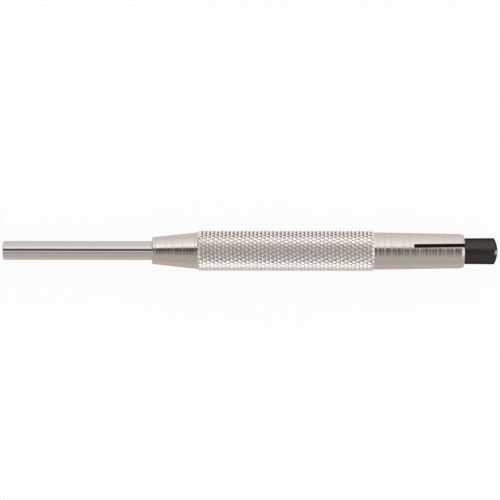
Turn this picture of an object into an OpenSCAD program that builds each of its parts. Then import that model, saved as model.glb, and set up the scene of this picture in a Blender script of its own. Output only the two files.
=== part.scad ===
// Pin punch with a sprung guide sleeve.
// The tool lies along X. The punch's working face is at the origin, the striking head points to +X,
// and the saw slots in the barrel's tail face +Z and -Z.
// The sleeve slides back into the barrel against the return spring while the punch drives a pin out.
// The punch pulls straight out of the slotted tail, which grips its shank.

/* [Punch] */
// Diameter of the punch pin, which drives 4 mm spring pins
pin_d = 3.9; // [2.9:0.1:4.4]
// Chamfer round the pin's working face
pin_chamfer = 0.2; // [0.1:0.05:0.4]
// Depth of the pin's press fit in the striking head
pin_seat = 12; // [6:0.5:16]
// Lead-in chamfer on the pin's seated end
pin_lead = 0.4; // [0.2:0.05:0.6]
// Diameter of the striking head where it stands out of the barrel
head_d = 8; // [7.6:0.1:8.6]
// Length of striking head that stands out of the barrel
head_reach = 10.1; // [7:0.1:14]
// Crown radius of the struck face
crown_r = 8.3; // [5.5:0.1:12]
// Rounding between the crown and the head's side
head_edge_r = 0.4; // [0.2:0.05:0.8]
// Length of the shank that the barrel's tail grips
shank_len = 20; // [18:0.5:24]
// Chamfer on the shank's front edge
shank_chamfer = 0.4; // [0.2:0.05:0.8]

/* [Guide sleeve] */
// Wall thickness of the guide sleeve
sleeve_wall = 0.875; // [0.6:0.005:0.95]
// Length of guide sleeve that stands out of the nose at rest
sleeve_reach = 45.2; // [42:0.1:60]
// Chamfer on the guide sleeve's front edge
sleeve_chamfer = 0.25; // [0.1:0.05:0.35]
// Countersink in the guide sleeve's mouth, where the driven pin enters
sleeve_sink = 0.15; // [0.1:0.05:0.2]
// How far the punch's working face lies inside the guide sleeve at rest
tip_recess = 1; // [0.4:0.1:3]
// Length of the stop collar on the guide sleeve's inner end
collar_len = 4; // [2:0.5:8]
// Chamfer on the stop collar's rear edge
collar_chamfer = 0.3; // [0.1:0.05:0.6]

/* [Barrel] */
// Diameter of the bore that holds the spring and grips the shank
chamber_d = 7.1; // [6.8:0.05:7.4]
// Diameter of the nose at its front
nose_tip_d = 8.15; // [7.4:0.05:9]
// Diameter of the nose where the knurl begins
nose_base_d = 11.1; // [10.5:0.1:11.2]
// Length of the nose cone
nose_len = 13.8; // [10:0.1:20]
// Broken edge at the front of the nose
nose_chamfer = 0.3; // [0.1:0.05:0.4]
// Countersink round the sleeve in the nose's face
nose_sink = 0.2; // [0.1:0.05:0.3]
// Length of the nose bore that guides the sleeve
guide_len = 9; // [6:0.5:12]
// Diameter of the barrel's plain tail
tail_d = 11.25; // [10.8:0.05:11.3]
// Length of the plain tail
tail_len = 27.5; // [24:0.1:34]
// Length of the tail's straight stretch behind the knurl
tail_land = 1.6; // [1:0.1:6]
// Diameter at the tail's rear end
tail_end_d = 10.4; // [9.8:0.05:10.8]
// Length of the chamfer on the tail's rear edge
tail_chamfer_len = 0.8; // [0.3:0.05:1.1]
// Depth of that chamfer, down from the tail's side
tail_chamfer_depth = 1.1; // [0.3:0.05:1.1]
// Countersink in the tail's mouth, where the shank enters
tail_sink = 0.3; // [0.1:0.05:0.4]

/* [Knurl] */
// Diameter over the knurl's crests
knurl_d = 12.2; // [12:0.05:12.8]
// Length of the knurled grip
knurl_len = 53.4; // [40:0.1:70]
// Depth of the knurl's grooves
knurl_depth = 0.42; // [0.3:0.01:0.42]
// Length of the bevel at each end of the knurl
knurl_bevel = 0.6; // [0.2:0.05:1]
// Number of grooves that start round the barrel in each direction
knurl_starts = 28; // [20:1:32]
// Mean angle of the grooves to the barrel's axis
knurl_angle = 29.5; // [25:0.5:35]
// Angle by which the crossed pair of grooves is turned to one side
knurl_skew = 4.6; // [0:0.1:6]
// Angle by which the whole knurl is turned about the barrel's axis
knurl_phase = -0.7; // [-6.4:0.1:6.4]

/* [Tail slots] */
// Width of the saw cut through the tail
slot_w = 1.2; // [0.6:0.1:1.6]
// Depth of the saw cut along the barrel's axis
slot_len = 16.3; // [12:0.1:19]
// Angle by which the saw cut leans off the barrel's axis
slot_skew = 1.1; // [0:0.1:1.5]
// Diameter of the saw, which shapes the end of the cut
saw_d = 40; // [36:1:80]

/* [Return spring] */
// Diameter of the spring's wire
wire_d = 0.6; // [0.4:0.05:0.7]
// Number of turns in the spring
spring_turns = 24; // [12:1:24]
// Space between the end turns and their neighbours
end_turn_gap = 0.5; // [0.45:0.05:1]

/* [Hidden] */

// Running clearances on the radius
pin_clearance = 0.05;
sleeve_clearance = 0.05;
shank_clearance = 0.05;
collar_clearance = 0.05;
spring_clearance = 0.15;
// Space between the spring's end turns and their seats
spring_seat_gap = 0.05;
// How far a cutting shape runs past the surface that it cuts
overrun = 1;
// How far the plain body draws in under each end of the knurl
core_relief = 0.3;
// Point angle of the drill that made the pin's seat
drill_angle = 118;

// Facets of turned parts, and steps along a rounded stretch of a profile
turned_facets = 96;
crown_steps = 12;
edge_steps = 6;
// Rings in one turn of the spring, and sides of its wire
rings_per_turn = 8;
wire_sides = 6;

steel = "Silver";
bright_steel = "Gainsboro";
tool_steel = "LightSlateGray";
spring_steel = "DimGray";
black_oxide = "DarkSlateGray";

// Diameters that follow from a mating part and its clearance
sleeve_bore = pin_d + 2 * pin_clearance;
sleeve_od = sleeve_bore + 2 * sleeve_wall;
nose_bore = sleeve_od + 2 * sleeve_clearance;
shank_d = chamber_d - 2 * shank_clearance;
collar_d = chamber_d - 2 * collar_clearance;

// Places along the axis, from the working face
sleeve_front = -tip_recess;
nose_front = sleeve_front + sleeve_reach;
knurl_front = nose_front + nose_len;
knurl_rear = knurl_front + knurl_len;
barrel_rear = knurl_rear + tail_len;
head_rear = barrel_rear + head_reach;
shoulder = nose_front + guide_len;
sleeve_rear = shoulder + collar_len;
shank_front = barrel_rear - shank_len;

// A solid turned about X from a profile of [radius, place along X] points
module turned(profile) {
    rotate([0, 90, 0])
        rotate_extrude($fn = turned_facets)
            polygon(profile);
}

// A round bar along X
module bar(d, from, to) {
    translate([from, 0, 0])
        rotate([0, 90, 0])
            cylinder(d = d, h = to - from, $fn = turned_facets);
}

// A round bar along X that widens from one diameter to another
module taper(d_from, d_to, from, to) {
    translate([from, 0, 0])
        rotate([0, 90, 0])
            cylinder(d1 = d_from, d2 = d_to, h = to - from, $fn = turned_facets);
}

// A point at a place along X, a radius and an angle from +Z towards +Y
function polar(x, r, a) = [x, r * sin(a), r * cos(a)];

// Points of an arc in a profile, with angles measured from the X direction
function profile_arc(x, r_centre, r, from, to, steps) =
    [for (i = [0:steps])
        let (a = from + (to - from) * i / steps)
            [r_centre + r * sin(a), x + r * cos(a)]];

// Knurl: crests and groove crossings alternate round each column, and each column turns by one shift
crest_r = knurl_d / 2;
root_r = crest_r - knurl_depth;
start_angle = 360 / knurl_starts;
rise_slope = tan(knurl_angle - knurl_skew);
fall_slope = tan(knurl_angle + knurl_skew);
nominal_column = PI * knurl_d / knurl_starts / (rise_slope + fall_slope);
columns = round((knurl_len - 2 * knurl_bevel) / nominal_column);
column_pitch = (knurl_len - 2 * knurl_bevel) / columns;
column_shift = start_angle * rise_slope / (rise_slope + fall_slope);
ring_points = 2 * knurl_starts;

// Radius, place and angle of point k on ring i, where the first and last rings are plain polygons
function ring_r(i, k) = i == 0 || i == columns + 2 || k % 2 == 1 ? root_r : crest_r;
function ring_x(i) =
    i == 0 ? knurl_front :
    i == columns + 2 ? knurl_rear :
    knurl_front + knurl_bevel + (i - 1) * column_pitch;
function ring_turn(i) = column_shift * max(0, min(columns, i - 1));

// Index of point k on ring i
function on_ring(i, k) = i * ring_points + (k + ring_points) % ring_points;

// Two triangles for a step round a bevel, and four for each crest between two columns
function bevel_faces(i) =
    [for (k = [0:ring_points - 1]) each [
        [on_ring(i, k), on_ring(i, k + 1), on_ring(i + 1, k + 1)],
        [on_ring(i, k), on_ring(i + 1, k + 1), on_ring(i + 1, k)]
    ]];
function diamond_faces(i) =
    [for (k = [0:2:ring_points - 1]) each [
        [on_ring(i, k), on_ring(i, k + 1), on_ring(i + 1, k - 1)],
        [on_ring(i, k), on_ring(i + 1, k - 1), on_ring(i, k - 1)],
        [on_ring(i + 1, k), on_ring(i + 1, k - 1), on_ring(i, k + 1)],
        [on_ring(i + 1, k), on_ring(i, k + 1), on_ring(i + 1, k + 1)]
    ]];

module knurled_grip() {
    points = [for (i = [0:columns + 2]) for (k = [0:ring_points - 1])
        polar(ring_x(i), ring_r(i, k), k * start_angle / 2 + ring_turn(i) + knurl_phase)];
    front_face = [for (k = [ring_points - 1:-1:0]) on_ring(0, k)];
    rear_face = [for (k = [0:ring_points - 1]) on_ring(columns + 2, k)];
    faces = concat(
        [front_face],
        bevel_faces(0),
        [for (i = [1:columns]) each diamond_faces(i)],
        bevel_faces(columns + 1),
        [rear_face]
    );
    polyhedron(points = points, faces = faces, convexity = 4);
}

// The plain body narrows where it runs under the knurl
module turned_body() {
    turned([
        [0, nose_front],
        [nose_tip_d / 2 - nose_chamfer, nose_front],
        [nose_tip_d / 2, nose_front + nose_chamfer],
        [nose_base_d / 2, knurl_front],
        [nose_base_d / 2 - core_relief, knurl_front + core_relief],
        [tail_d / 2 - core_relief, knurl_rear - core_relief],
        [tail_d / 2, knurl_rear],
        [tail_d / 2, knurl_rear + tail_land],
        [tail_end_d / 2, barrel_rear - tail_chamfer_len],
        [tail_end_d / 2 - tail_chamfer_depth, barrel_rear],
        [0, barrel_rear]
    ]);
}

// The saw cuts in from the rear, so the cut ends in the saw's own curve. It leans about its own middle.
module saw_cut() {
    translate([barrel_rear - slot_len / 2, 0, 0])
        rotate([0, 0, slot_skew])
            translate([(saw_d - slot_len) / 2, 0, 0]) {
                rotate([90, 0, 0])
                    cylinder(d = saw_d, h = slot_w, center = true, $fn = turned_facets);
                translate([0, -slot_w / 2, -saw_d / 2])
                    cube([slot_len + overrun, slot_w, saw_d]);
            }
}

module barrel() {
    color(steel)
        difference() {
            union() {
                turned_body();
                knurled_grip();
            }
            bar(nose_bore, nose_front - overrun, shoulder + overrun);
            taper(nose_bore + 2 * (nose_sink + overrun), nose_bore, nose_front - overrun,
                nose_front + nose_sink);
            bar(chamber_d, shoulder, barrel_rear + overrun);
            taper(chamber_d, chamber_d + 2 * (tail_sink + overrun), barrel_rear - tail_sink,
                barrel_rear + overrun);
            saw_cut();
        }
}

module guide_sleeve() {
    color(bright_steel)
        turned([
            [sleeve_bore / 2, sleeve_front + sleeve_sink],
            [sleeve_bore / 2 + sleeve_sink, sleeve_front],
            [sleeve_od / 2 - sleeve_chamfer, sleeve_front],
            [sleeve_od / 2, sleeve_front + sleeve_chamfer],
            [sleeve_od / 2, sleeve_rear],
            [sleeve_bore / 2, sleeve_rear]
        ]);
}

// The ring pressed on the sleeve's inner end stops it at the nose and carries the spring
module stop_collar() {
    color(tool_steel)
        turned([
            [sleeve_od / 2, shoulder],
            [collar_d / 2, shoulder],
            [collar_d / 2, sleeve_rear - collar_chamfer],
            [collar_d / 2 - collar_chamfer, sleeve_rear],
            [sleeve_od / 2, sleeve_rear]
        ]);
}

// Spring: its end turns lie close, and its working turns share the rest of the length
coil_r = chamber_d / 2 - spring_clearance - wire_d / 2;
coil_front = sleeve_rear + spring_seat_gap + wire_d / 2;
coil_span = shank_front - spring_seat_gap - wire_d / 2 - coil_front;
end_pitch = wire_d + end_turn_gap;
work_pitch = (coil_span - 2 * end_pitch) / (spring_turns - 2);
coil_rings = spring_turns * rings_per_turn;

function coil_x(t) =
    t < 1 ? coil_front + end_pitch * t :
    t > spring_turns - 1 ? coil_front + coil_span - end_pitch * (spring_turns - t) :
    coil_front + end_pitch + work_pitch * (t - 1);
function coil_point(t) = polar(coil_x(t), coil_r, 360 * t);
function unit(v) = v / norm(v);

// The wire's section at turn t: points round the centreline, square to it
function wire_ring(t) =
    let (
        step = 1 / rings_per_turn,
        along = unit(coil_point(min(t + step, spring_turns)) - coil_point(max(t - step, 0))),
        outward = polar(0, 1, 360 * t),
        side = unit(cross(along, outward))
    )
        [for (s = [0:wire_sides - 1])
            let (a = 360 * s / wire_sides)
                coil_point(t) + wire_d / 2 * (cos(a) * unit(cross(side, along)) + sin(a) * side)];

// Least space between turns, measured on the centreline's own points
coil_line = [for (i = [0:coil_rings]) coil_point(i / rings_per_turn)];
turn_gap = min([for (i = [0:coil_rings])
    for (j = [i + rings_per_turn / 2:min(coil_rings, i + 2 * rings_per_turn)])
        norm(coil_line[i] - coil_line[j])]) - wire_d;
echo(str("least gap between the spring's turns: ", turn_gap, " mm"));

module return_spring() {
    points = [for (i = [0:coil_rings]) each wire_ring(i / rings_per_turn)];
    front_cap = [for (s = [0:wire_sides - 1]) s];
    rear_cap = [for (s = [wire_sides - 1:-1:0]) coil_rings * wire_sides + s];
    walls = [for (i = [0:coil_rings - 1]) for (s = [0:wire_sides - 1])
        let (
            a = i * wire_sides + s,
            b = i * wire_sides + (s + 1) % wire_sides
        )
            each [[a, a + wire_sides, b + wire_sides], [a, b + wire_sides, b]]];
    color(spring_steel)
        polyhedron(points = points, faces = concat([front_cap], walls, [rear_cap]), convexity = 8);
}

module punch_pin() {
    color(tool_steel)
        turned([
            [0, 0],
            [pin_d / 2 - pin_chamfer, 0],
            [pin_d / 2, pin_chamfer],
            [pin_d / 2, shank_front + pin_seat - pin_lead],
            [pin_d / 2 - pin_lead, shank_front + pin_seat],
            [0, shank_front + pin_seat]
        ]);
}

module striking_head() {
    crown_x = head_rear - crown_r;
    edge_centre_r = head_d / 2 - head_edge_r;
    crown_edge = asin(edge_centre_r / (crown_r - head_edge_r));
    edge_x = crown_x + (crown_r - head_edge_r) * cos(crown_edge);
    color(black_oxide)
        difference() {
            turned(concat(
                [
                    [0, shank_front],
                    [shank_d / 2 - shank_chamfer, shank_front],
                    [shank_d / 2, shank_front + shank_chamfer],
                    [shank_d / 2, barrel_rear],
                    [head_d / 2, barrel_rear]
                ],
                profile_arc(edge_x, edge_centre_r, head_edge_r, 90, crown_edge, edge_steps),
                profile_arc(crown_x, 0, crown_r, crown_edge * (crown_steps - 1) / crown_steps, 0,
                    crown_steps - 1)
            ));
            bar(pin_d, shank_front - overrun, shank_front + pin_seat);
            taper(pin_d, 0, shank_front + pin_seat,
                shank_front + pin_seat + pin_d / 2 / tan(drill_angle / 2));
        }
}

barrel();
guide_sleeve();
stop_collar();
return_spring();
punch_pin();
striking_head();
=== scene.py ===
# Pin punch with a sprung guide sleeve: finishes, fine shapes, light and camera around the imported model.
import math

import bpy
from mathutils import Matrix, Vector


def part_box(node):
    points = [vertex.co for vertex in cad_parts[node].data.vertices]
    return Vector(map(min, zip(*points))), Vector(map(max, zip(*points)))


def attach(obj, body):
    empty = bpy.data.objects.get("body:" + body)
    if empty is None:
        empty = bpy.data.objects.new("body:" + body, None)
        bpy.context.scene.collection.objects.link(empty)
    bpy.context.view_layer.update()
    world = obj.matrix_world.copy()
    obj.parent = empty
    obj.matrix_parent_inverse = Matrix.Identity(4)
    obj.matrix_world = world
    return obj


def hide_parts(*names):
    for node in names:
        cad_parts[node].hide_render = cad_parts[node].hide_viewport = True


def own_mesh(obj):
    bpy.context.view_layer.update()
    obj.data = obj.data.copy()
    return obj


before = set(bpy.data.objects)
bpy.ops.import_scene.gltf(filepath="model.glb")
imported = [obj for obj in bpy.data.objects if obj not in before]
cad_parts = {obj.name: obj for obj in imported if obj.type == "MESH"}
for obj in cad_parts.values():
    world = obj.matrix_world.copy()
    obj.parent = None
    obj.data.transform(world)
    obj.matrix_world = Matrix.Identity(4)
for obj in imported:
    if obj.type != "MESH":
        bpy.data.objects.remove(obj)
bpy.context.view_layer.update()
scene = bpy.context.scene
mm = 0.001  # the dictionaries below give sizes in millimetres and degrees
white = (1, 1, 1)


class Wire:
    # one output of a node, on which an expression adds Math nodes
    def __init__(self, graph, socket):
        self.graph = graph
        self.socket = socket

    def math(self, operation, *values):
        return self.graph.add("ShaderNodeMath", {"operation": operation}, dict(enumerate(values)))

    def __add__(self, other):
        return self.math("ADD", self, other)

    def __radd__(self, other):
        return self.math("ADD", other, self)

    def __sub__(self, other):
        return self.math("SUBTRACT", self, other)

    def __rsub__(self, other):
        return self.math("SUBTRACT", other, self)

    def __mul__(self, other):
        return self.math("MULTIPLY", self, other)

    def __rmul__(self, other):
        return self.math("MULTIPLY", other, self)

    def __truediv__(self, other):
        return self.math("DIVIDE", self, other)

    def __rtruediv__(self, other):
        return self.math("DIVIDE", other, self)

    def __pow__(self, other):
        return self.math("POWER", self, other)

    def least(self, other):
        return self.math("MINIMUM", self, other)

    def most(self, other):
        return self.math("MAXIMUM", self, other)

    def within(self, low, high):
        return self.most(low).least(high)

    def size(self):
        return self.math("ABSOLUTE", self)

    def sine(self):
        return self.math("SINE", self)

    def cosine(self):
        return self.math("COSINE", self)

    def ramp(self, low, high):
        # 0 below low, 1 above high and smooth between; low may be the larger
        settings = {"interpolation_type": "SMOOTHSTEP"}
        return self.graph.add("ShaderNodeMapRange", settings, {0: self, 1: low, 2: high}, "Result")


class Graph:
    # a node tree, written one node a call
    def __init__(self, tree):
        self.tree = tree

    def add(self, kind, settings=None, inputs=None, output=0):
        node = self.tree.nodes.new(kind)
        for name, value in (settings or {}).items():
            if name == "stops":
                self.setStops(node.color_ramp, value)
            else:
                setattr(node, name, value)
        for name, value in (inputs or {}).items():
            if isinstance(value, Wire):
                self.tree.links.new(value.socket, node.inputs[name])
            else:
                node.inputs[name].default_value = value
        if isinstance(output, tuple):
            return [Wire(self, node.outputs[name]) for name in output]
        return Wire(self, node.outputs[output]) if node.outputs else None

    def setStops(self, colorRamp, stops):
        while len(colorRamp.elements) < len(stops):
            colorRamp.elements.new(0.5)
        for element, (position, color) in zip(colorRamp.elements, stops):
            element.position = position
            element.color = color

    def levels(self, value, stops):
        # straight lines between (place, level) pairs, or (place, level, shade)
        low, high = stops[0][0], stops[-1][0]
        peak = max(stop[1] for stop in stops)
        colors = []
        for place, level, *shade in stops:
            color = [part * level / peak for part in (shade or [white])[0]]
            colors.append(((place - low) / (high - low), tint(*color)))
        inputs = {"Fac": (value - low) / (high - low)}
        ramp = self.add("ShaderNodeValToRGB", {"stops": colors}, inputs, "Color")
        return self.scaled(ramp, peak)

    def scaled(self, vector, size):
        return self.add("ShaderNodeVectorMath", {"operation": "SCALE"}, {0: vector, "Scale": size})

    def stretched(self, vector, sizes):
        return self.add("ShaderNodeVectorMath", {"operation": "MULTIPLY"}, {0: vector, 1: sizes})

    def blend(self, factor, first, second):
        # a mix of two colours
        inputs = {"Factor": factor, 6: first, 7: second}
        return self.add("ShaderNodeMix", {"data_type": "RGBA"}, inputs, 2)

    def vector(self, x, y, z):
        return self.add("ShaderNodeCombineXYZ", None, {0: x, 1: y, 2: z})

    def split(self, vector, axes):
        return self.add("ShaderNodeSeparateXYZ", None, {0: vector}, axes)

    def noise(self, place, scale, detail=2.0, roughness=0.5):
        inputs = {"Vector": place, "Scale": scale, "Detail": detail, "Roughness": roughness}
        return self.add("ShaderNodeTexNoise", None, inputs, "Fac")

    def rings(self, x, pitch, seed=0.0, detail=2.0):
        # bands round the axis, as a turning tool leaves them
        inputs = {"W": x / pitch + seed, "Scale": 1.0, "Detail": detail}
        return self.add("ShaderNodeTexNoise", {"noise_dimensions": "1D"}, inputs, "Fac")


def tint(red, green, blue):
    return (red, green, blue, 1.0)


def newMaterial(name):
    material = bpy.data.materials.new(name)
    material.use_nodes = True
    material.node_tree.nodes.clear()
    return material, Graph(material.node_tree)


def objectPoint(graph):
    # the place on a piece, in millimetres
    return graph.scaled(graph.add("ShaderNodeTexCoord", None, None, "Object"), 1 / mm)


def axisPlaces(graph, point):
    # how far along the tool's axis a point is, and how far from it
    x, y, z = graph.split(point, ("X", "Y", "Z"))
    return x, (y * y + z * z) ** 0.5


def coverWith(graph, height, inputs):
    # the surface, with a bump of that height in millimetres
    bump = graph.add("ShaderNodeBump", None, {"Strength": 1.0, "Distance": mm, "Height": height})
    shader = graph.add("ShaderNodeBsdfPrincipled", None, {**inputs, "Normal": bump}, "BSDF")
    graph.add("ShaderNodeOutputMaterial", None, {"Surface": shader})


# Shapes

def rounded(outline, steps=4, hold=0.3):
    # an outline of (x, radius), where a third number says how far back a corner is rounded;
    # a ring on each side of the rounding, a little further out, keeps the faces beyond it flat in shading
    points = []
    for number, corner in enumerate(outline):
        here = Vector(corner[:2])
        if len(corner) < 3:
            points.append(here)
            continue
        before = Vector(outline[number - 1][:2])
        after = Vector(outline[(number + 1) % len(outline)][:2])
        backward = (before - here).normalized() * corner[2]
        forward = (after - here).normalized() * corner[2]
        start = here + backward
        end = here + forward
        points.append(start + backward * hold)
        for step in range(steps + 1):
            t = step / steps
            points.append(start * (1 - t) ** 2 + here * 2 * t * (1 - t) + end * t ** 2)
        points.append(end + forward * hold)
    return points


def turned(name, outline, facets, tube=False):
    # a solid of revolution round X; a tube's outline closes on itself
    vertices = []
    rings = []
    for x, radius in outline:
        if radius == 0:
            rings.append([len(vertices)] * facets)
            vertices.append((x * mm, 0, 0))
            continue
        rings.append([len(vertices) + k for k in range(facets)])
        for k in range(facets):
            angle = 2 * math.pi * k / facets
            vertices.append((x * mm, radius * mm * math.sin(angle), radius * mm * math.cos(angle)))
    pairs = list(zip(rings, rings[1:]))
    if tube:
        pairs.append((rings[-1], rings[0]))
    faces = []
    for front, rear in pairs:
        for k in range(facets):
            n = (k + 1) % facets
            corners = [front[k], rear[k], rear[n], front[n]]
            faces.append(list(dict.fromkeys(corners)))
    mesh = bpy.data.meshes.new(name)
    mesh.from_pydata(vertices, [], faces)
    mesh.update()
    piece = bpy.data.objects.new(name, mesh)
    scene.collection.objects.link(piece)
    return piece


def settled(piece):
    # swaps the piece's modifiers for the mesh that they give
    evaluated = piece.evaluated_get(bpy.context.evaluated_depsgraph_get())
    mesh = bpy.data.meshes.new_from_object(evaluated)
    piece.modifiers.clear()
    piece.data = mesh
    mesh.name = piece.name
    return piece


def joinSolid(piece, operation, tool):
    change = piece.modifiers.new(operation.lower(), "BOOLEAN")
    change.operation = operation
    change.solver = "MANIFOLD"
    change.object = tool
    settled(piece)
    bpy.data.objects.remove(tool)


def shadeByAngle(piece, degrees):
    piece.data.shade_smooth()
    piece.data.set_sharp_from_angle(angle=math.radians(degrees))


def dress(piece, material, body, node):
    piece.data.materials.clear()
    piece.data.materials.append(material)
    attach(piece, body)
    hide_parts(node)


def grown(name, sizes, material, build):
    # a piece whose shape a Geometry Nodes tree works out from its named sizes
    tree = bpy.data.node_groups.new(name, "GeometryNodeTree")
    tree.is_modifier = True
    graph = Graph(tree)
    tree.interface.new_socket("Geometry", in_out="OUTPUT", socket_type="NodeSocketGeometry")
    values = {**sizes, "Material": material}
    kinds = {int: "NodeSocketInt", float: "NodeSocketFloat", bpy.types.Material: "NodeSocketMaterial"}
    sockets = {}
    for label, value in values.items():
        sockets[label] = tree.interface.new_socket(label, in_out="INPUT", socket_type=kinds[type(value)])
    given = tree.nodes.new("NodeGroupInput")
    size = {label: Wire(graph, given.outputs[label]) for label in values}
    shape = build(graph, size)
    shape = graph.add("GeometryNodeRealizeInstances", None, {"Geometry": shape})
    shape = graph.add("GeometryNodeSetMaterial", None, {"Geometry": shape, "Material": size["Material"]})
    graph.add("NodeGroupOutput", None, {"Geometry": shape})
    piece = bpy.data.objects.new(name, bpy.data.meshes.new(name))
    modifier = piece.modifiers.new(name, "NODES")
    modifier.node_group = tree
    for label, value in values.items():
        modifier[sockets[label].identifier] = value
    scene.collection.objects.link(piece)
    return settled(piece)


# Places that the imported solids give, in millimetres

def span(node):
    low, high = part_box(node)
    return low.x / mm, high.x / mm


def reach(node):
    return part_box(node)[1].z / mm


noseFront, barrelRear = span("barrel")
sleeveFront, sleeveRear = span("guide_sleeve")
shoulder = span("stop_collar")[0]
pinFront, pinRear = span("punch_pin")
shankFront, headRear = span("striking_head")
crestRadius = reach("barrel")
sleeveRadius = reach("guide_sleeve")
collarRadius = reach("stop_collar")
pinRadius = reach("punch_pin")
headRadius = reach("striking_head")
coilRadius = reach("return_spring")


# Barrel

barrel = {
    "noseLength": 13.8, "noseTipRadius": 4.075, "noseBaseRadius": 5.55, "noseEdge": 0.3,
    "tailLength": 27.5, "tailRadius": 5.625, "tailLand": 1.6, "landBlend": 0.5, "tailEndRadius": 5.2,
    "tailChamferLength": 0.8, "tailChamferDepth": 1.1, "tailEdge": 0.15,
    # the chamfer is worn round through this place, back from the rear and in from the outside
    "tailWorn": (0.17, 0.43),
    # the body is drawn in under the knurl's ends
    "relief": 0.3,
    "noseBore": 2.925, "noseSink": 0.2, "chamberRadius": 3.55, "tailSink": 0.3,
    "slotWidth": 1.2, "slotLength": 16.3, "slotSkew": 1.1, "sawRadius": 20.0, "sawFacets": 256,
    "facets": 192, "overrun": 1.0, "creaseAngle": 26,
    "steel": (tint(0.575, 0.53, 0.497), tint(0.635, 0.587, 0.552)), "glint": tint(0.75, 0.73, 0.72),
    "clouded": tint(0.565, 0.52, 0.485), "cloudedShare": 0.35,
    # painted highlight: a brighter colour for the whole knurl, though it has the same plating as the nose
    # and tail
    "crests": (tint(0.775, 0.737, 0.715), tint(0.835, 0.797, 0.772)),
    # painted shade, with some grime: the darker colour deep in the knurl's grooves, and how much of it is
    # mixed in
    "grooves": tint(0.5, 0.465, 0.44), "groovesShare": 0.36,
    # rings that turning left, and dull marks between them
    "coarsePitch": 1.7, "coarseHeight": 0.003, "finePitch": 0.36, "fineHeight": 0.004,
    "markPitch": 0.7, "markShare": 0.7, "scuffShare": 0.5, "scuffHeight": 0.001,
    "roughness": 0.08, "markRoughness": 0.24, "tailRoughness": 0.11, "knurlRoughness": 0.18,
    "grooveRoughness": 0.1,
}
knurl = {
    "depth": 0.42, "bevel": 0.6, "starts": 28, "columns": 44, "steps": 3,
    # the last share on the next line: how far up from a groove's bottom the colour is darkened as painted
    # shade and the surface made rougher
    "shift": 5.2303, "phase": -0.7, "flankShare": 0.386, "shadeAndDullShare": 0.35,
}
knurlFront = noseFront + barrel["noseLength"]
knurlRear = barrelRear - barrel["tailLength"]


def knurlTree(graph, size):
    # A flat sheet, one unit to a step, with every square split in four about its middle,
    # is rolled up so that the grooves run along the squares' diagonals.
    rows = size["Columns"] * size["Steps"]
    around = size["Starts"] * 2 * size["Steps"]
    sheet = graph.add("GeometryNodeMeshGrid", None, {
        "Size X": rows + 4, "Size Y": around, "Vertices X": rows + 5, "Vertices Y": around + 1}, "Mesh")
    split, top = graph.add("GeometryNodeExtrudeMesh", {"mode": "FACES"}, {
        "Mesh": sheet, "Offset Scale": 0.0, "Individual": True}, ("Mesh", "Top"))
    split = graph.add("GeometryNodeScaleElements", {"domain": "FACE"}, {
        "Geometry": split, "Selection": top, "Scale": 0.0})
    split = graph.add("GeometryNodeMergeByDistance", None, {"Geometry": split, "Distance": 0.01})
    point = graph.add("GeometryNodeInputPosition")
    across, along = graph.split(point, ("X", "Y"))
    row = across + rows / 2
    inside = row.within(0, rows)
    bevelled = row.within(-1, 0) + (row - rows).within(0, 1)  # -1 at the front end, 1 at the rear end
    endFill = (row + 2).least(rows + 2 - row).within(0, 1)
    column = inside / size["Steps"] + bevelled / 2
    turn = (along + around / 2) / size["Steps"]
    ways = [(turn + column) / 2, (turn - column) / 2]
    # A third of the way up from a groove's bottom to the next, the sheet is drawn out to the crests' edge.
    offGroove = [way.math("FRACT", way) - 0.5 for way in ways]
    drawn = []
    fromGroove = []
    for off in offGroove:
        outward = (off.size() * (size["Flank"] * 3 - 1)).least((0.5 - off.size()) * (size["Flank"] * 6 - 2))
        fromGroove.append(off.size() + outward)
        drawn.append(outward * off.math("SIGN", off) * (1 - bevelled.size()))
    height = (fromGroove[0].least(fromGroove[1]) / size["Flank"]).least(1)
    height = height.least(1 - bevelled.size())
    bevel = size["Bevel"]
    sideways = drawn[0] - drawn[1]
    x = bevel + (size["Length"] - bevel * 2) * (inside + sideways * size["Steps"]) / rows + bevel * bevelled
    radius = (size["Crest radius"] - size["Depth"] * (1 - height)) * endFill
    angle = (ways[1] + drawn[1]) * (2 * math.pi) / size["Starts"] + size["Phase"]
    angle = angle + size["Shift"] * (column + sideways)
    place = graph.vector(x + size["Front"], radius * angle.sine(), radius * angle.cosine())
    rolled = graph.add("GeometryNodeSetPosition", None, {"Geometry": split, "Position": place})
    return graph.add("GeometryNodeMergeByDistance", None, {"Geometry": rolled, "Distance": 0.002 * mm})


def sawBlade():
    # a disc across the tail, whose rim shapes the end of the cut, turned a little about the cut's middle
    half = barrel["slotWidth"] / 2
    outline = [(-half, 0), (-half, barrel["sawRadius"]), (half, barrel["sawRadius"]), (half, 0)]
    blade = turned("blade", outline, barrel["sawFacets"])
    middle = Matrix.Translation(((barrelRear - barrel["slotLength"] / 2) * mm, 0, 0))
    lean = Matrix.Rotation(math.radians(barrel["slotSkew"]), 4, "Z")
    back = Matrix.Translation(((barrel["sawRadius"] - barrel["slotLength"] / 2) * mm, 0, 0))
    blade.data.transform(middle @ lean @ back @ Matrix.Rotation(math.pi / 2, 4, "Z"))
    return blade


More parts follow.
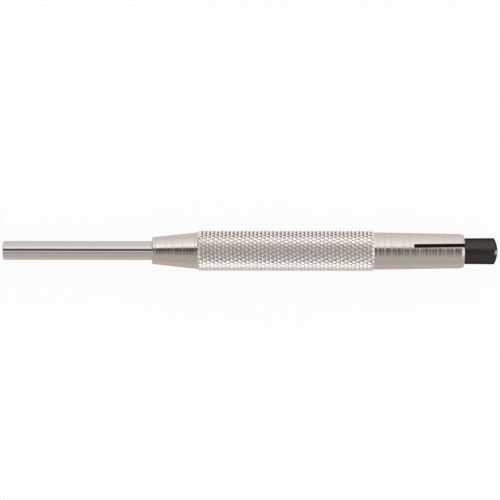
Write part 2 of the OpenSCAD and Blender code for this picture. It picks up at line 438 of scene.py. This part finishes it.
def platedSteel():
    # satin nickel over turned steel, whose rings differ in gloss, rougher low in the knurl's grooves; there
    # the colour is darkened as painted shade with some grime, and the knurl's colour is made brighter as a
    # painted highlight
    b = barrel
    material, graph = newMaterial("platedSteel")
    point = objectPoint(graph)
    x, radius = axisPlaces(graph, point)
    onKnurl = x.ramp(knurlFront - 0.1, knurlFront + 0.1) * x.ramp(knurlRear + 0.1, knurlRear - 0.1)
    onTail = x.ramp(knurlRear - 1, knurlRear + 1)
    root = crestRadius - knurl["depth"]
    groove = radius.ramp(root + knurl["depth"] * knurl["shadeAndDullShare"], root) * onKnurl
    coarse = graph.rings(x, b["coarsePitch"], seed=3.1)
    fine = graph.rings(x, b["finePitch"], seed=11.7, detail=3.0)
    comb = graph.rings(x, b["markPitch"], seed=7.9, detail=4.0).ramp(0.42, 0.66)
    scuff = graph.noise(graph.stretched(point, (3.0, 0.4, 0.4)), 1.0, 3.0, 0.6).ramp(0.45, 0.7)
    cloud = graph.noise(point, 0.35, 2.0)
    color = graph.blend(fine, *b["steel"])
    color = graph.blend(cloud * b["cloudedShare"], color, b["clouded"])
    # painted highlight: the knurl's colour is brighter than the rest of the same plating
    color = graph.blend(onKnurl, color, graph.blend(fine, *b["crests"]))
    # painted shade, with some grime: the colour darkens deep in the knurl's grooves
    color = graph.blend(groove * b["groovesShare"], color, b["grooves"])
    marks = (comb * b["markShare"] + scuff * b["scuffShare"]) * (1 - onKnurl)
    roughness = b["roughness"] + marks * b["markRoughness"] + onTail * b["tailRoughness"]
    roughness = roughness + onKnurl * (fine * 0.1 + b["knurlRoughness"]) + groove * b["grooveRoughness"]
    height = (coarse - 0.5) * b["coarseHeight"] + (fine - 0.5) * b["fineHeight"]
    height = height + (scuff - 0.5) * b["scuffHeight"]
    coverWith(graph, height, {
        "Base Color": color, "Metallic": 1.0, "Roughness": roughness.within(0.1, 0.6),
        "Specular Tint": b["glint"]})
    return material


def makeBarrel():
    b = barrel
    base, tail = b["noseBaseRadius"], b["tailRadius"]
    body = turned("barrelBody", rounded([
        (noseFront, 0),
        (noseFront, b["noseTipRadius"], b["noseEdge"]),
        (knurlFront, base),
        (knurlFront + b["relief"], base - b["relief"]),
        (knurlRear - b["relief"], tail - b["relief"]),
        (knurlRear, tail),
        (knurlRear + b["tailLand"], tail, b["landBlend"]),
        (barrelRear - b["tailChamferLength"], b["tailEndRadius"], b["tailEdge"] * 2),
        (barrelRear - b["tailWorn"][0], b["tailEndRadius"] - b["tailWorn"][1], b["tailEdge"]),
        (barrelRear, b["tailEndRadius"] - b["tailChamferDepth"], b["tailEdge"]),
        (barrelRear, 0),
    ]), b["facets"])
    steel = platedSteel()
    grip = grown("knurledGrip", {
        "Front": knurlFront * mm, "Length": (knurlRear - knurlFront) * mm,
        "Crest radius": crestRadius * mm, "Depth": knurl["depth"] * mm, "Bevel": knurl["bevel"] * mm,
        "Starts": knurl["starts"], "Columns": knurl["columns"], "Steps": knurl["steps"],
        "Shift": math.radians(knurl["shift"]), "Phase": math.radians(knurl["phase"]),
        "Flank": knurl["flankShare"],
    }, steel, knurlTree)
    joinSolid(body, "UNION", grip)
    sink = b["noseSink"]
    over = b["overrun"]
    bore = turned("bore", [
        (noseFront - over, 0),
        (noseFront - over, b["noseBore"] + sink + over),
        (noseFront + sink, b["noseBore"]),
        (shoulder, b["noseBore"]),
        (shoulder, b["chamberRadius"]),
        (barrelRear - b["tailSink"], b["chamberRadius"]),
        (barrelRear + over, b["chamberRadius"] + b["tailSink"] + over),
        (barrelRear + over, 0),
    ], b["facets"])
    joinSolid(body, "DIFFERENCE", bore)
    joinSolid(body, "DIFFERENCE", sawBlade())
    shadeByAngle(body, b["creaseAngle"])
    dress(body, steel, "barrel", "barrel")


makeBarrel()
print("barrel: turned, knurled, bored and sawn")


# Guide sleeve

sleeve = {
    "boreRadius": 2.0, "mouthSink": 0.15, "edge": 0.25, "fineEdge": 0.05, "facets": 160, "creaseAngle": 30,
    "steel": (tint(0.6, 0.56, 0.535), tint(0.64, 0.603, 0.58)), "glint": tint(0.75, 0.73, 0.72),
    "roughness": 0.085, "streakRoughness": 0.06, "ringPitch": 0.5, "ringRoughness": 0.04, "height": 0.0008,
}


def polishedSteel():
    # ground and polished, with faint lengthwise streaks from being drawn and wiped
    material, graph = newMaterial("polishedSteel")
    point = objectPoint(graph)
    streak = graph.noise(graph.stretched(point, (0.05, 3.0, 3.0)), 1.0, 2.0, 0.5)
    fine = graph.rings(graph.split(point, "X"), sleeve["ringPitch"], seed=5.3, detail=3.0)
    cloud = graph.noise(point, 0.5, 2.0)
    color = graph.blend(cloud, *sleeve["steel"])
    roughness = sleeve["roughness"] + (streak - 0.5) * sleeve["streakRoughness"]
    roughness = roughness + (fine - 0.5) * sleeve["ringRoughness"]
    height = (streak - 0.5) * sleeve["height"] + (fine - 0.5) * sleeve["height"]
    coverWith(graph, height, {
        "Base Color": color, "Metallic": 1.0, "Roughness": roughness.within(0.04, 0.4),
        "Specular Tint": sleeve["glint"]})
    return material


def makeSleeve():
    s = sleeve
    tube = turned("guideSleeve", rounded([
        (sleeveFront + s["mouthSink"], s["boreRadius"], s["fineEdge"]),
        (sleeveFront, s["boreRadius"] + s["mouthSink"], s["fineEdge"]),
        (sleeveFront, sleeveRadius, s["edge"]),
        (sleeveRear, sleeveRadius, s["fineEdge"]),
        (sleeveRear, s["boreRadius"], s["fineEdge"]),
    ]), s["facets"], tube=True)
    shadeByAngle(tube, s["creaseAngle"])
    dress(tube, polishedSteel(), "guide", "guide_sleeve")


makeSleeve()
print("guide sleeve: turned")


# Stop collar

collar = {
    "frontEdge": 0.1, "rearEdge": 0.3, "facets": 128, "creaseAngle": 30,
    "steel": (tint(0.46, 0.455, 0.45), tint(0.56, 0.555, 0.55)), "roughness": 0.32,
    "ringPitch": 0.12, "ringHeight": 0.006, "ringRoughness": 0.25,
}


def bareSteel():
    # turned and left bare, with the tool's marks
    material, graph = newMaterial("bareSteel")
    point = objectPoint(graph)
    x, radius = axisPlaces(graph, point)
    fine = graph.rings(x + radius, collar["ringPitch"], seed=2.9, detail=3.0)
    stain = graph.noise(point, 1.1, 4.0)
    color = graph.blend(stain, *collar["steel"])
    roughness = collar["roughness"] + (fine - 0.5) * collar["ringRoughness"]
    coverWith(graph, (fine - 0.5) * collar["ringHeight"], {
        "Base Color": color, "Metallic": 1.0, "Roughness": roughness.within(0.15, 0.6)})
    return material


def makeCollar():
    ring = turned("stopCollar", rounded([
        (shoulder, sleeveRadius),
        (shoulder, collarRadius, collar["frontEdge"]),
        (sleeveRear, collarRadius, collar["rearEdge"]),
        (sleeveRear, sleeveRadius),
    ]), collar["facets"], tube=True)
    shadeByAngle(ring, collar["creaseAngle"])
    dress(ring, bareSteel(), "guide", "stop_collar")


makeCollar()
print("stop collar: turned")


# Punch pin

pin = {
    "edge": 0.2, "lead": 0.4, "facets": 128, "creaseAngle": 30,
    "steel": (tint(0.47, 0.465, 0.46), tint(0.56, 0.555, 0.55)), "wearAndHighlight": tint(0.66, 0.65, 0.64),
    "wearAndHighlightFade": (3.0, 0.5), "wornShare": 0.4, "roughness": 0.22, "ringRoughness": 0.2, "filmRoughness": 0.1,
    "ringPitch": 0.22, "wavePitch": 3.0, "height": 0.002,
}


def groundSteel():
    # hardened and ground, with a wiped-on film of oil
    material, graph = newMaterial("groundSteel")
    point = objectPoint(graph)
    x, radius = axisPlaces(graph, point)
    fine = graph.rings(x + radius, pin["ringPitch"], seed=8.1, detail=4.0)
    coarse = graph.rings(x, pin["wavePitch"], seed=1.3)
    film = graph.noise(point, 0.25, 3.0)
    color = graph.blend(film, *pin["steel"])
    wearAndHighlight = x.ramp(*pin["wearAndHighlightFade"])
    color = graph.blend(wearAndHighlight * pin["wornShare"], color, pin["wearAndHighlight"])
    roughness = pin["roughness"] + (fine - 0.5) * pin["ringRoughness"] + (film - 0.5) * pin["filmRoughness"]
    height = (fine - 0.5) * pin["height"] + (coarse - 0.5) * pin["height"]
    coverWith(graph, height, {
        "Base Color": color, "Metallic": 1.0, "Roughness": roughness.within(0.1, 0.5)})
    return material


def makePin():
    rod = turned("punchPin", rounded([
        (pinFront, 0),
        (pinFront, pinRadius, pin["edge"]),
        (pinRear, pinRadius, pin["lead"]),
        (pinRear, 0),
    ]), pin["facets"])
    shadeByAngle(rod, pin["creaseAngle"])
    dress(rod, groundSteel(), "punch", "punch_pin")


makePin()
print("punch pin: turned")


# Striking head

head = {
    "shankRadius": 3.5, "shankChamfer": 0.4, "frontEdge": 0.12, "crownRadius": 8.3, "edgeRadius": 0.6,
    "crownSteps": 14, "edgeSteps": 6, "drillAngle": 118, "facets": 160, "creaseAngle": 30,
    "black": (tint(0.046, 0.042, 0.038), tint(0.066, 0.06, 0.055)), "struck": tint(0.12, 0.11, 0.1),
    "glint": tint(0.3, 0.3, 0.3), "roughness": 0.36, "grainRoughness": 0.2, "ringRoughness": 0.16,
    "grainScale": 3.0, "grainHeight": 0.006, "ringPitch": 0.45, "ringHeight": 0.004,
    # painted highlight: a small near-white patch near the crown's edge
    "highlightAt": (148.42, -1.385, 2.963), "wearAndHighlightFade": (0.95, 0.4), "highlightColor": tint(0.9, 0.88, 0.86),
}


def arc(x, radius, size, fromAngle, toAngle, steps):
    # points of an arc in an outline, with its angles measured from X
    points = []
    for step in range(steps + 1):
        angle = fromAngle + (toAngle - fromAngle) * step / steps
        points.append((x + size * math.cos(angle), radius + size * math.sin(angle)))
    return points


def blackOxide():
    # blackened steel, satin, rubbed a little brighter on its crown, with a painted highlight near the
    # crown's edge
    h = head
    material, graph = newMaterial("blackOxide")
    point = objectPoint(graph)
    x = graph.split(point, "X")
    fine = graph.rings(x, h["ringPitch"], seed=4.4, detail=3.0)
    grain = graph.noise(point, h["grainScale"], 4.0, 0.6)
    struck = x.ramp(headRear - 0.9, headRear - 0.1)
    color = graph.blend(grain, *h["black"])
    color = graph.blend(struck * grain * 0.5, color, h["struck"])
    # painted highlight: a near-white patch round a point near the crown's edge
    distance = {"operation": "DISTANCE"}
    away = graph.add("ShaderNodeVectorMath", distance, {0: point, 1: h["highlightAt"]}, "Value")
    wearAndHighlight = away.ramp(*h["wearAndHighlightFade"]) * (grain * 0.4 + 0.8)
    color = graph.blend(wearAndHighlight, color, h["highlightColor"])
    roughness = h["roughness"] + (grain - 0.5) * h["grainRoughness"] + (fine - 0.5) * h["ringRoughness"]
    height = (grain - 0.5) * h["grainHeight"] + (fine - 0.5) * h["ringHeight"]
    coverWith(graph, height, {
        "Base Color": color, "Metallic": 1.0, "Roughness": roughness.within(0.18, 0.6),
        "Specular Tint": h["glint"]})
    return material


def makeHead():
    h = head
    crownCentre = headRear - h["crownRadius"]
    edgeCentreRadius = headRadius - h["edgeRadius"]
    inner = h["crownRadius"] - h["edgeRadius"]
    meeting = math.asin(edgeCentreRadius / inner)
    edgeCentre = crownCentre + inner * math.cos(meeting)
    edge = arc(edgeCentre, edgeCentreRadius, h["edgeRadius"], math.pi / 2, meeting, h["edgeSteps"])
    crown = arc(crownCentre, 0, h["crownRadius"], meeting, 0, h["crownSteps"])[1:-1]
    drillPoint = pinRear + pinRadius / math.tan(math.radians(h["drillAngle"] / 2))
    plug = turned("strikingHead", rounded([
        (drillPoint, 0),
        (pinRear, pinRadius),
        (shankFront, pinRadius),
        (shankFront, h["shankRadius"], h["shankChamfer"]),
        (barrelRear, h["shankRadius"]),
        (barrelRear, headRadius, h["frontEdge"]),
    ]) + edge + crown + [(headRear, 0)], h["facets"])
    shadeByAngle(plug, h["creaseAngle"])
    dress(plug, blackOxide(), "punch", "striking_head")


makeHead()
print("striking head: turned")


# Return spring

spring = {
    "wireRadius": 0.3, "turns": 24, "endPitch": 1.1, "pointsPerTurn": 28, "wireSides": 10,
    "seatGap": 0.05, "squashedShare": 0.351, "creaseAngle": 60,
    "wire": (tint(0.2, 0.198, 0.2), tint(0.34, 0.336, 0.33)), "roughness": 0.28,
    "grainScale": 2.4, "grainRoughness": 0.2, "grainHeight": 0.006,
}


def springTree(graph, size):
    # a line bent round the axis, whose end turns lie closer, with the wire swept along it
    line = graph.add("GeometryNodeCurvePrimitiveLine")
    line = graph.add("GeometryNodeResampleCurve", {"mode": "COUNT"}, {
        "Curve": line, "Count": size["Turns"] * size["Points per turn"] + 1})
    share = graph.add("GeometryNodeSplineParameter", None, None, "Factor")
    turn = share * size["Turns"]
    endPitch = size["End pitch"]
    workPitch = (size["Span"] - endPitch * 2) / (size["Turns"] - 2)
    front = turn.least(1) * endPitch
    middle = (turn - 1).within(0, size["Turns"] - 2) * workPitch
    rear = (turn - size["Turns"] + 1).most(0) * endPitch
    angle = turn * (2 * math.pi)
    place = graph.vector(size["Front"] + front + middle + rear,
                         size["Coil radius"] * angle.sine(), size["Coil radius"] * angle.cosine())
    coil = graph.add("GeometryNodeSetPosition", None, {"Geometry": line, "Position": place})
    section = graph.add("GeometryNodeCurvePrimitiveCircle", None, {
        "Resolution": size["Wire sides"], "Radius": size["Wire radius"]})
    return graph.add("GeometryNodeCurveToMesh", None, {
        "Curve": coil, "Profile Curve": section, "Fill Caps": True})


def oiledWire():
    # drawn spring wire under a film of oil
    material, graph = newMaterial("oiledWire")
    grain = graph.noise(objectPoint(graph), spring["grainScale"], 4.0, 0.6)
    color = graph.blend(grain, *spring["wire"])
    roughness = spring["roughness"] + (grain - 0.5) * spring["grainRoughness"]
    coverWith(graph, (grain - 0.5) * spring["grainHeight"], {
        "Base Color": color, "Metallic": 1.0, "Roughness": roughness.within(0.15, 0.5)})
    return material


def makeSpring():
    s = spring
    front = sleeveRear + s["seatGap"] + s["wireRadius"]
    rear = shankFront - s["seatGap"] - s["wireRadius"]
    wire = oiledWire()
    coil = grown("returnSpring", {
        "Front": front * mm, "Span": (rear - front) * mm, "End pitch": s["endPitch"] * mm,
        "Coil radius": (coilRadius - s["wireRadius"]) * mm, "Wire radius": s["wireRadius"] * mm,
        "Turns": s["turns"], "Points per turn": s["pointsPerTurn"], "Wire sides": s["wireSides"],
    }, wire, springTree)
    shadeByAngle(coil, s["creaseAngle"])
    dress(coil, wire, "barrel", "return_spring")
    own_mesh(coil)


makeSpring()
print("return spring: wound")


# Stage, light and camera

view = {
    "elevation": 72, "distance": 612, "aimX": 73.9, "aimRise": 0.23, "fieldOfView": 14.15, "roll": 0.11,
    "nearest": 0.01, "farthest": 50,
}
tilt = math.radians(view["elevation"])
towardCamera = Vector((0, -math.cos(tilt), math.sin(tilt)))
upInPicture = Vector((0, math.sin(tilt), math.cos(tilt)))

cream = (1, 0.936, 0.92)
umber = (1, 0.905, 0.855)
ground = {
    "level": 0.9, "size": 8000, "whiteShare": 0.93,
    # how bright it looks to metal, by the millimetres behind the tool's axis: lower in front of the tool,
    # as painted shade
    "gloss": [
        (-60, 0.64, cream), (-28, 0.68, cream), (-12, 0.82, cream), (-5, 0.84, cream), (5, 1.0, white),
        (60, 1.02, white),
    ],
}


def makeFloor():
    material, graph = newMaterial("paleFloor")
    half = ground["size"] / 2 * mm
    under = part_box("barrel")[0].z
    mesh = bpy.data.meshes.new("floor")
    corners = [(-half, -half, under), (half, -half, under), (half, half, under), (-half, half, under)]
    mesh.from_pydata(corners, [], [(0, 1, 2, 3)])
    mesh.materials.append(material)
    floor = bpy.data.objects.new("floor", mesh)
    scene.collection.objects.link(floor)
    seen = graph.add("ShaderNodeLightPath", None, None,
                     ("Is Camera Ray", "Is Glossy Ray", "Is Transmission Ray"))
    share = (seen[0] + seen[1] + seen[2]).least(1) * ground["whiteShare"]
    # painted shade: the floor as metal mirrors it is darker in front of the tool
    gloss = graph.levels(graph.split(objectPoint(graph), "Y"), ground["gloss"])
    color = graph.blend(seen[0], gloss, tint(*white))
    level = ground["level"]
    paper = graph.add("ShaderNodeBsdfDiffuse", None, {"Color": tint(level, level, level)})
    glow = graph.add("ShaderNodeEmission", None, {"Color": color, "Strength": 1.0})
    both = graph.add("ShaderNodeMixShader", None, {0: share, 1: paper, 2: glow})
    graph.add("ShaderNodeOutputMaterial", None, {"Surface": both})


room = {
    # brightness round the tool's axis, by the degrees from the camera up and over to the back
    "middle": [
        (-180, 0.85, cream), (-90, 0.72, cream), (-72, 0.63, cream), (-52, 0.69, cream), (-34, 0.57, cream),
        (-26, 0.41, cream), (-20, 0.28, umber), (-7, 0.26, umber), (-2, 0.13, umber), (17, 0.11, umber),
        (23.5, 1.33, white), (30, 1.55, white), (38, 1.58, white), (60, 1.27, white), (90, 1.1, white),
        (115, 0.99, white), (180, 0.95, white),
    ],
    # the same, well to the left and right of the camera
    "sides": [
        (-180, 0.8, cream), (-110, 0.8, cream), (-75, 0.94, cream), (-50, 0.88, cream), (-35, 0.72, cream),
        (-20, 0.72, cream), (8, 0.75, cream), (24, 1.15, white), (58, 1.0, white), (75, 0.96, white),
        (105, 0.98, white), (180, 0.9, white),
    ],
    "sidesFade": (0.36, 0.48),
    # the same, far to the right, where the tail's rear edge and the knurl's rear bevel mirror it
    "farRight": [
        (-180, 1.1, white), (-120, 1.5, white), (12, 1.6, white), (26, 0.7, white), (180, 0.6, white),
    ],
    "rightFade": (0.9, 0.96),
    # what the sleeve mirrors: a narrow pale card in front, and a dimmer stretch of the back wall
    "sleeveLeft": -0.185, "leftSoftness": 0.012, "sleeveRight": 0.0, "rightSoftness": 0.02,
    "cardLevel": 0.97, "cardFrom": -21, "cardTo": -8, "cardSoftness": 2,
    "dimWall": [
        (-180, 1), (15, 1), (23, 0.78), (35, 0.81), (48, 0.74), (62, 0.76), (77, 0.79), (93, 0.87),
        (112, 0.67), (140, 0.7), (180, 0.75),
    ],
    # past a corner on the left the walls are dimmer, the back one more than the front one
    "cornerAt": -0.42, "cornerSoftness": 0.04, "pastCorner": 0.05,
    "backWall": ((-8, 4), (105, 75)), "frontWall": (-36, -50), "frontDim": 0.4,
}


def makeRoom():
    # pale walls, brighter behind the tool, with a dark strip overhead where the camera hangs
    world = bpy.data.worlds.new("room")
    scene.world = world
    world.use_nodes = True
    world.node_tree.nodes.clear()
    graph = Graph(world.node_tree)
    direction = graph.add("ShaderNodeTexCoord", None, None, "Generated")
    dot = {"operation": "DOT_PRODUCT"}
    ahead = graph.add("ShaderNodeVectorMath", dot, {0: direction, 1: towardCamera}, "Value")
    above = graph.add("ShaderNodeVectorMath", dot, {0: direction, 1: upInPicture}, "Value")
    aside = graph.split(direction, "X")
    angle = above.math("ARCTAN2", above, ahead) * (180 / math.pi)
    color = graph.levels(angle, room["middle"])
    color = graph.blend(aside.size().ramp(*room["sidesFade"]), color, graph.levels(angle, room["sides"]))
    color = graph.blend(aside.ramp(*room["rightFade"]), color, graph.levels(angle, room["farRight"]))

    left, right, soft = room["sleeveLeft"], room["sleeveRight"], room["cardSoftness"]
    bySleeve = aside.ramp(left - room["leftSoftness"], left + room["leftSoftness"])
    bySleeve = bySleeve * aside.ramp(right + room["rightSoftness"], right - room["rightSoftness"])
    card = angle.ramp(room["cardFrom"] - soft, room["cardFrom"] + soft)
    card = card * angle.ramp(room["cardTo"] + soft, room["cardTo"] - soft) * bySleeve
    color = graph.blend(card, color, tint(*[room["cardLevel"] * part for part in cream]))
    dimmed = graph.levels(angle, room["dimWall"])
    share = graph.add("ShaderNodeMix", {"data_type": "FLOAT"}, {0: bySleeve, 2: 1.0, 3: dimmed})

    rise, fall = room["backWall"]
    walls = angle.ramp(*rise) * angle.ramp(*fall) + angle.ramp(*room["frontWall"]) * room["frontDim"]
    corner, soft = room["cornerAt"], room["cornerSoftness"]
    corner = aside.ramp(corner + soft, corner - soft) * walls
    color = graph.scaled(color, share * (1 - corner * (1 - room["pastCorner"])))
    isCamera = graph.add("ShaderNodeLightPath", None, None, "Is Camera Ray")
    color = graph.blend(isCamera, color, tint(*white))
    sky = graph.add("ShaderNodeBackground", None, {"Color": color, "Strength": 1.0})
    graph.add("ShaderNodeOutputWorld", None, {"Surface": sky})


panel = {
    "leftLevel": 0.6, "rightLevel": 1.5, "sideAngle": 43, "frontAngle": -13, "distance": 900,
    "width": 480, "height": 640,
}


def makePanel(name, side, level):
    # a soft panel in front of the tool, to one side of the camera
    angle = math.radians(panel["frontAngle"])
    turn = math.radians(panel["sideAngle"] * side)
    direction = (towardCamera * math.cos(angle) + upInPicture * math.sin(angle)) * math.cos(turn)
    direction += Vector((math.sin(turn), 0, 0))
    lamp = bpy.data.lights.new(name, "AREA")
    lamp.shape = "RECTANGLE"
    lamp.size = panel["width"] * mm
    lamp.size_y = panel["height"] * mm
    # a panel's radiance times pi and its area
    lamp.energy = level * math.pi * lamp.size * lamp.size_y
    holder = bpy.data.objects.new(name, lamp)
    aim = Vector((view["aimX"] * mm, 0, 0))
    holder.location = aim + direction * panel["distance"] * mm
    across = upInPicture.cross(direction).normalized()
    axes = Matrix((across, direction.cross(across), direction)).transposed()
    holder.rotation_mode = "QUATERNION"
    holder.rotation_quaternion = axes.to_quaternion()
    holder.visible_camera = False
    scene.collection.objects.link(holder)


def makeCamera():
    camera = bpy.data.cameras.new("camera")
    camera.sensor_width = 36
    camera.lens = camera.sensor_width / 2 / math.tan(math.radians(view["fieldOfView"] / 2))
    camera.clip_start = view["nearest"]
    camera.clip_end = view["farthest"]
    holder = bpy.data.objects.new("camera", camera)
    aim = Vector((view["aimX"] * mm, 0, 0)) + upInPicture * view["aimRise"] * mm
    holder.location = aim + towardCamera * view["distance"] * mm
    axes = Matrix((Vector((1, 0, 0)), upInPicture, towardCamera)).transposed()
    holder.rotation_mode = "QUATERNION"
    roll = Matrix.Rotation(math.radians(view["roll"]), 3, "Z")
    holder.rotation_quaternion = (axes @ roll).to_quaternion()
    scene.collection.objects.link(holder)
    scene.camera = holder


makeFloor()
makeRoom()
makePanel("leftPanel", -1, panel["leftLevel"])
makePanel("rightPanel", 1, panel["rightLevel"])
makeCamera()
scene.view_settings.view_transform = "Standard"
print("stage: floor, room, two panels and camera")
